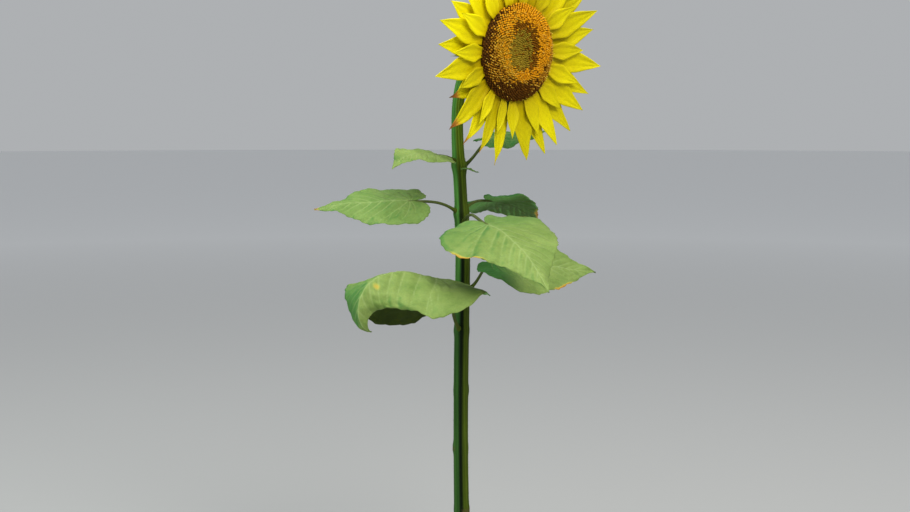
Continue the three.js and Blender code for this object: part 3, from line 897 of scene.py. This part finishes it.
def build_ray(name, ray, width, level, lift, curl, rng, rows=56, half=9):
    """A petal that leaves the head at a level, rises by lift for each mm outward and curls back."""
    ray = dict(zip(RAY_FIELDS, ray))
    length = ray["reach"] - RAY_ROOT
    half_width = ray.get("width", width) / 2 * rng.uniform(0.97, 1.05)
    share, b = grid(rows, half)
    nick = 1 + 0.02 * np.sin(share * 19 + rng.uniform(0, 6)) * np.abs(b) ** 3
    across = b * half_width * ray_half_width(share) * nick
    out = length * share
    sway = rng.uniform(-2.5, 2.5) * share ** 2
    twist = rad(rng.uniform(-9, 9)) * share ** 1.4
    middle = lift * out - curl * share ** 2
    height = 0.16 * np.abs(across) + rng.uniform(-2.0, 2.6) * share ** 3
    pleat = 0.55 * np.cos(b * math.pi * 2.5 + rng.uniform(-0.3, 0.3)) * smoothstep(share, 0.02, 0.2)
    pleat = pleat * (1 - smoothstep(share, 0.75, 1.0)) * (half_width / 16)
    fine = 0.07 * np.cos(b * math.pi * 9)
    edge_wave = 0.9 * np.sin(share * rng.uniform(8, 13) + rng.uniform(0, 6) + (b > 0) * rng.uniform(1, 4))
    height = height + pleat + fine + edge_wave * np.abs(b) ** 3 * smoothstep(share, 0.1, 0.4)
    wither = ray.get("sere", 0)
    across = across * (1 - 0.35 * wither * smoothstep(share, 0.72, 1.0))
    height = height - 7 * wither * smoothstep(share, 0.7, 1.0) ** 1.5
    local_y = across * np.cos(twist) - height * np.sin(twist) + sway
    local_z = middle + across * np.sin(twist) + height * np.cos(twist)
    body = np.stack([RAY_ROOT + out, local_y, level + local_z], -1)
    thick = RAY_HALF_THICKNESS * (1 - 0.5 * np.abs(b) ** 6)
    offset = surface_normals(body) * thick[..., None]
    verts = np.concatenate([(body + offset).reshape(-1, 3), (body - offset).reshape(-1, 3)])
    verts = verts @ spin_matrix(rad(ray["turn"]))
    # painted light: a random tone, plus brighter petals round SUNLIT_TURN
    sunlit = math.exp(-(((ray["turn"] - SUNLIT_TURN) / SUNLIT_REACH) ** 2))
    tone_and_painted_light = rng.uniform(0, 0.3) + 0.8 * sunlit
    sere = wither * smoothstep(share, 0.86 - 0.22 * wither, 1.0)
    paint = np.stack([share, sere, np.full(share.shape, tone_and_painted_light)], -1).reshape(-1, 3)
    uv = shell_uv(0.02 + 0.46 * (0.5 + 0.5 * b), 0.01 + 0.98 * share)
    return make_piece(name, head_place(verts), shell_faces(rows, share.shape[1], flip=True), [PETAL],
                      {"petal": np.tile(paint, (2, 1))}, uv)


def disc_height(r):
    """Height of the seed disc's surface over its rim plane."""
    return np.interp(np.abs(r), [0, 8, 16, 26, 36, 46, 52, 57, 61, 63.5],
                     [13.4, 13.8, 15.2, 16.9, 17.4, 16.2, 14.2, 11.6, 8.6, 5.6])


def revolved(name, profile, sides, mat, wobble=0.0, tint=None):
    """A solid turned about the head's axis, from (radius, level) pairs; both end ones are on the axis."""
    profile = np.array(profile, dtype=float)
    angle = circle(sides)
    r = profile[1:-1, 0][:, None] * (1 + wobble * np.cos(angle * 19)[None, :])
    ring = np.stack([r * np.cos(angle), r * np.sin(angle), profile[1:-1, 1][:, None] + 0 * angle], -1)
    verts = np.concatenate([ring.reshape(-1, 3), [[0, 0, profile[0, 1]]], [[0, 0, profile[-1, 1]]]])
    faces = tube_faces(len(ring), sides)
    downward = profile[0, 1] > profile[-1, 1]
    if downward:
        faces = [f[:, ::-1] for f in faces]
    colours = {} if tint is None else {"tint": np.broadcast_to(tint, (len(verts), 3))}
    return make_piece(name, head_place(verts), faces, [mat], colours)


def build_disc_body():
    """The dome that the florets stand on."""
    profile = [(0, 12.8), (8, 13.2), (16, 14.6), (26, 16.3), (36, 16.8), (46, 15.6), (52, 13.6), (57, 11.0),
               (61, 7.8), (63.2, 4.6), (63.4, 2.5), (61, 1.0), (58, -2.4), (0, -2.4)]
    piece = revolved("disc_body", profile, 96, DISC_DARK)
    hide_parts("seed_disc")


def floret_shape(profile, sides):
    """A small solid turned about +Z, from (radius, level) pairs; the last is on the axis."""
    angle = circle(sides)
    rings = [np.stack([r * np.cos(angle), r * np.sin(angle), np.full(sides, z)], -1) for r, z in profile[:-1]]
    verts = np.concatenate(rings + [[[0, 0, profile[0][1]]], [[0, 0, profile[-1][1]]]])
    walls, foot, cap = tube_faces(len(rings), sides)
    return verts, walls, np.concatenate([cap, foot])


def scatter(name, shape, places, axes, sizes, mat, rng):
    """One joined piece of the same small shape at many places, each turned, sized and leaned a little."""
    verts, quads, tris = shape
    count = len(places)
    spin = rng.uniform(0, 2 * math.pi, count)
    up = unit(axes + rng.normal(0, 0.10, axes.shape))
    a = unit(np.cross(up, vec(0.3, 0.9, 0.1)))
    b = np.cross(up, a)
    right = np.cos(spin)[:, None] * a + np.sin(spin)[:, None] * b
    front = np.cross(up, right)
    local = verts[None] * sizes[:, None, :]
    world = (places[:, None, :] + local[..., 0:1] * right[:, None] + local[..., 1:2] * front[:, None]
             + local[..., 2:3] * up[:, None]).reshape(-1, 3)
    base = (np.arange(count) * len(verts))[:, None, None]
    faces = [(quads[None] + base).reshape(-1, 4), (tris[None] + base).reshape(-1, 3)]
    make_piece(name, head_place(world), faces, [mat])


def floret_kinds(x, y, r, rng):
    """Olive in the middle, rust above it, orange and amber on the dome, brown and umber round them, with more
    umber as painted shade at the bottom and on the lower left of the rim.
    """
    cx, cy = np.stack([x, y]) + rng.normal(0, 2.0, (FLORET_COUNT, 2)).T
    chance = rng.uniform(0, 1, FLORET_COUNT)
    centre = np.hypot((cx + 5) / 23.0, (cy - 3) / 28)
    warm = np.hypot(cx, cy - 15) / 51
    upper = (cx * 0.8 + cy * 0.6) / np.maximum(np.hypot(cx, cy), 1)
    kind = np.full(FLORET_COUNT, "brown", dtype="<U8")
    kind[warm < 1] = "orange"
    kind[(warm < 1) & (cx < -12) & (chance < 0.75 - 0.45 * (cy > 20))] = "amber"
    kind[(centre < 1.38) & (upper > -0.1) & (chance < 0.9)] = "rust"
    kind[centre < 1] = "olive"
    kind[(centre < 1) & (chance < 0.10)] = "rust"
    # painted shade: umber at the disc's bottom and on the rim's lower left
    low = np.clip((-cy - 30) / 18, 0, 1) * 0.9
    rim = np.clip((r - 55) / 7, 0, 1) * np.clip(0.35 - 0.9 * upper, 0, 1)
    kind[(kind == "brown") & (chance < np.maximum(low, rim) + 0.10)] = "umber"
    kind[(kind == "brown") & (chance > 0.90)] = "rust"
    return kind


def build_florets(rng):
    """Florets in the spiral of a sunflower, each kind of one colour and joined into one piece."""
    n = np.arange(FLORET_COUNT) + 0.5
    r = FLORET_SPREAD * np.sqrt(n / FLORET_COUNT)
    x = r * np.cos(n * GOLDEN_ANGLE)
    y = r * np.sin(n * GOLDEN_ANGLE)
    lean = 0.35 * (disc_height(r + 1) - disc_height(r - 1))
    place = np.stack([x, y, disc_height(r) - 1.2], -1)
    axis = unit(np.stack([-lean * x / r, -lean * y / r, np.ones(FLORET_COUNT)], -1))
    kind = floret_kinds(x, y, r, rng)
    size = np.ones((FLORET_COUNT, 3)) * rng.uniform(0.88, 1.12, (FLORET_COUNT, 1))
    size[:, 2] *= rng.uniform(0.85, 1.2, FLORET_COUNT) * np.interp(r, [0, 50, 63], [1, 1, 0.72])
    bud = floret_shape([(1.25, 0), (1.45, 1.6), (1.2, 2.9), (0.6, 3.7), (0, 3.9)], 7)
    closed = floret_shape([(1.15, 0), (1.3, 2.0), (1.0, 3.4), (0.45, 4.3), (0, 4.6)], 6)
    opened = floret_shape([(1.0, 0), (1.05, 2.4), (1.3, 3.4), (1.5, 4.2), (1.0, 3.9), (0.5, 4.8), (0, 5.1)],
                          6)
    spent = floret_shape([(1.0, 0), (1.1, 2.4), (1.45, 3.6), (1.1, 4.0), (0.5, 4.5), (0, 4.7)], 6)
    stigma_share = np.zeros(FLORET_COUNT)
    for name, shape, scale, mat, share in (
        ("olive", bud, 0.82, FLORET_OLIVE, 0),
        ("rust", closed, 0.86, FLORET_RUST, 0),
        ("orange", opened, 0.88, FLORET_ORANGE, 0.14),
        ("amber", opened, 0.86, FLORET_AMBER, 0.26),
        ("brown", spent, 0.88, FLORET_BROWN, 0.36),
        ("umber", spent, 0.84, FLORET_UMBER, 0.06),
    ):
        pick = kind == name
        scatter("florets_" + name, shape, place[pick], axis[pick], size[pick] * scale, mat, rng)
        stigma_share[pick] = share
    tips = rng.uniform(0, 1, FLORET_COUNT) < stigma_share
    speck = floret_shape([(0.22, 0), (0.46, 0.5), (0.55, 1.0), (0.3, 1.5), (0, 1.7)], 5)
    at = place[tips] + axis[tips] * 4.0 * size[tips, 2:] + rng.normal(0, 0.3, (tips.sum(), 3))
    scatter("florets_stigmas", speck, at, axis[tips], size[tips], FLORET_GOLD, rng)


def build_receptacle():
    """The green back of the head, from where the neck joins it to the edge under the petals."""
    back = -RECEPTACLE_DEPTH
    profile = [(0, back - 4), (11.0, back - 3.8), (14.5, back - 2.6), (19, back + 0.5), (27, back + 5.0),
               (38, -20.5), (49, -15.5), (56, -10.5), (60, -6), (61, -3.5), (58, -2.6), (0, -2.6)]
    piece = revolved("receptacle_body", profile, 114, BRACT_GREEN, wobble=0.006, tint=BRACT_TINT)
    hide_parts("receptacle")


def bract(ring, turn, rng):
    """Points and colours of one pointed bract with a keel on its back."""
    size = rng.uniform(0.85, 1.1)
    share, b = grid(BRACT_ROWS, BRACT_HALF)
    shape = np.maximum(np.sin(math.pi * (0.18 + 0.82 * share)) ** 0.9 * (1 - share ** 3), 0.02)
    shape = np.maximum(shape * (1 - 0.35 * smoothstep(share, 0.45, 0.8)), 0.02)
    across = b * ring["width"] / 2 * size * shape
    out = ring["root"] + ring["length"] * size * share
    sway = rng.uniform(-2.5, 2.5) * share ** 2
    rise = ring["level"] + ring["lift"] * ring["length"] * share
    rise = rise - (ring["curl"] + rng.uniform(0, 4)) * share ** 2.5
    rise = rise - 0.25 * np.abs(across) * (1 - share) + 0.5 * (1 - np.abs(b)) * (1 - share)
    body = np.stack([out, across + sway, rise], -1)
    normal = surface_normals(body)
    keel = 0.5 * np.exp(-((b / 0.16) ** 2)) * (1 - share)
    top = body + normal * BRACT_HALF_THICKNESS
    under = body - normal * (BRACT_HALF_THICKNESS + keel)[..., None]
    verts = np.concatenate([top.reshape(-1, 3), under.reshape(-1, 3)])
    edge = np.clip(np.abs(b) ** 2 + smoothstep(share, 0.75, 1.0), 0, 1)[..., None]
    tint = (BRACT_TINT + (BRACT_EDGE - BRACT_TINT) * edge) * rng.uniform(0.85, 1.15)
    return verts @ spin_matrix(turn), np.tile(tint.reshape(-1, 3), (2, 1))


def build_bracts(rng):
    """Three rings of pointed green bracts that overlap behind the ray florets."""
    bracts = []
    for number, ring in enumerate(BRACT_RINGS):
        for i in range(ring["count"]):
            turn = 2 * math.pi * (i + 0.37 * number) / ring["count"] + rng.uniform(-0.03, 0.03)
            bracts.append(bract(ring, turn, rng))
    verts, tints = (np.concatenate(part) for part in zip(*bracts))
    one = np.concatenate(shell_faces(BRACT_ROWS, 2 * BRACT_HALF + 1, flip=True))
    faces = np.concatenate([one + i * len(verts) // len(bracts) for i in range(len(bracts))])
    piece = make_piece("bract_rings", head_place(verts), faces, [BRACT_GREEN], {"tint": tints})
    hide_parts("bracts")


# ---- studio
FLOOR_RADIUS = 40.0
FLOOR_SIDES = 128
FLOOR_LEVEL = -0.001
FLOOR_FADE = 8.0
WORLD_COLOUR = (0.94, 0.97, 1.0, 1)
WORLD_STRENGTH = 0.45
# name, place, width, power in watts, colour
LIGHTS = [
    ("key", (1.1, -2.5, 2.8), 1.3, 84, (1.0, 0.98, 0.90)),
    ("overhead", (0.0, -0.4, 3.3), 2.2, 70, (1.0, 1.0, 1.0)),
    ("fill", (-2.4, -1.7, 1.6), 1.6, 36, (0.80, 1.0, 0.90)),
]
LIGHTS_AIM = (0, 0, 0.8)


def add_floor():
    """A wide round floor, painted darker near the plant, where the lamps light it most, so that it blends
    with the background far off.
    """
    mesh = bpy.data.meshes.new("floor")
    rim = [(FLOOR_RADIUS * math.cos(turn), FLOOR_RADIUS * math.sin(turn), FLOOR_LEVEL)
           for turn in circle(FLOOR_SIDES)]
    mesh.from_pydata(rim, [], [range(FLOOR_SIDES)])
    floor = bpy.data.objects.new("floor", mesh)
    bpy.context.scene.collection.objects.link(floor)
    mat, tree, shader = material("floor_pale", roughness=0.9, specular=0.1)
    place = tree.nodes.new("ShaderNodeTexCoord")
    away = tree.nodes.new("ShaderNodeVectorMath")
    away.operation = "LENGTH"
    tree.links.new(place.outputs["Object"], away.inputs[0])
    share = maths(tree, "DIVIDE", away.outputs["Value"], FLOOR_FADE)
    floor_colour_painted_shade = ramp(tree, share, [(0.12, (0.42, 0.42, 0.415)), (1.0, (0.88, 0.89, 0.90))])
    tree.links.new(floor_colour_painted_shade, shader.inputs["Base Color"])
    mesh.materials.append(mat)


def add_lights():
    world = bpy.data.worlds.new("studio")
    bpy.context.scene.world = world
    world.use_nodes = True
    background = world.node_tree.nodes["Background"]
    background.inputs["Color"].default_value = WORLD_COLOUR
    background.inputs["Strength"].default_value = WORLD_STRENGTH
    for name, place, width, power, colour in LIGHTS:
        data = bpy.data.lights.new(name, "AREA")
        data.size = width
        data.energy = power
        data.color = colour
        light = bpy.data.objects.new(name, data)
        bpy.context.scene.collection.objects.link(light)
        light.location = place
        light.rotation_euler = (Vector(LIGHTS_AIM) - Vector(place)).to_track_quat("-Z", "Y").to_euler()
    bpy.context.scene.view_settings.view_transform = "Standard"


# ---- build
stem = build_stem()
build_stem_hairs(*stem, np.random.default_rng(11))
for index, leaf in enumerate(LEAVES):
    build_leaf(leaf, np.random.default_rng(100 + index))
    build_petiole(leaf)
build_leaf(AXIL_LEAF, np.random.default_rng(190), rows=40, half=12, in_cad=False)
for whorl, rays, width, level, lift, curl, seed in (
    ("front", FRONT_RAYS, RAY_WIDTH, 0.6, 0.13, 1.5, 300),
    ("back", BACK_RAYS, RAY_WIDTH, -4.2, 0.15, 1.5, 400),
    ("inner", INNER_RAYS, INNER_RAY_WIDTH, 3.4, 0.20, 2.0, 500),
):
    for index, ray in enumerate(rays):
        name = "%s_%02d" % (whorl, index + 1)
        piece = build_ray("petal_" + name, ray, width, level, lift, curl, np.random.default_rng(seed + index))
        if whorl != "inner":
            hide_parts("ray_" + name)
build_disc_body()
build_florets(np.random.default_rng(5))
build_receptacle()
build_bracts(np.random.default_rng(6))
add_floor()
add_lights()
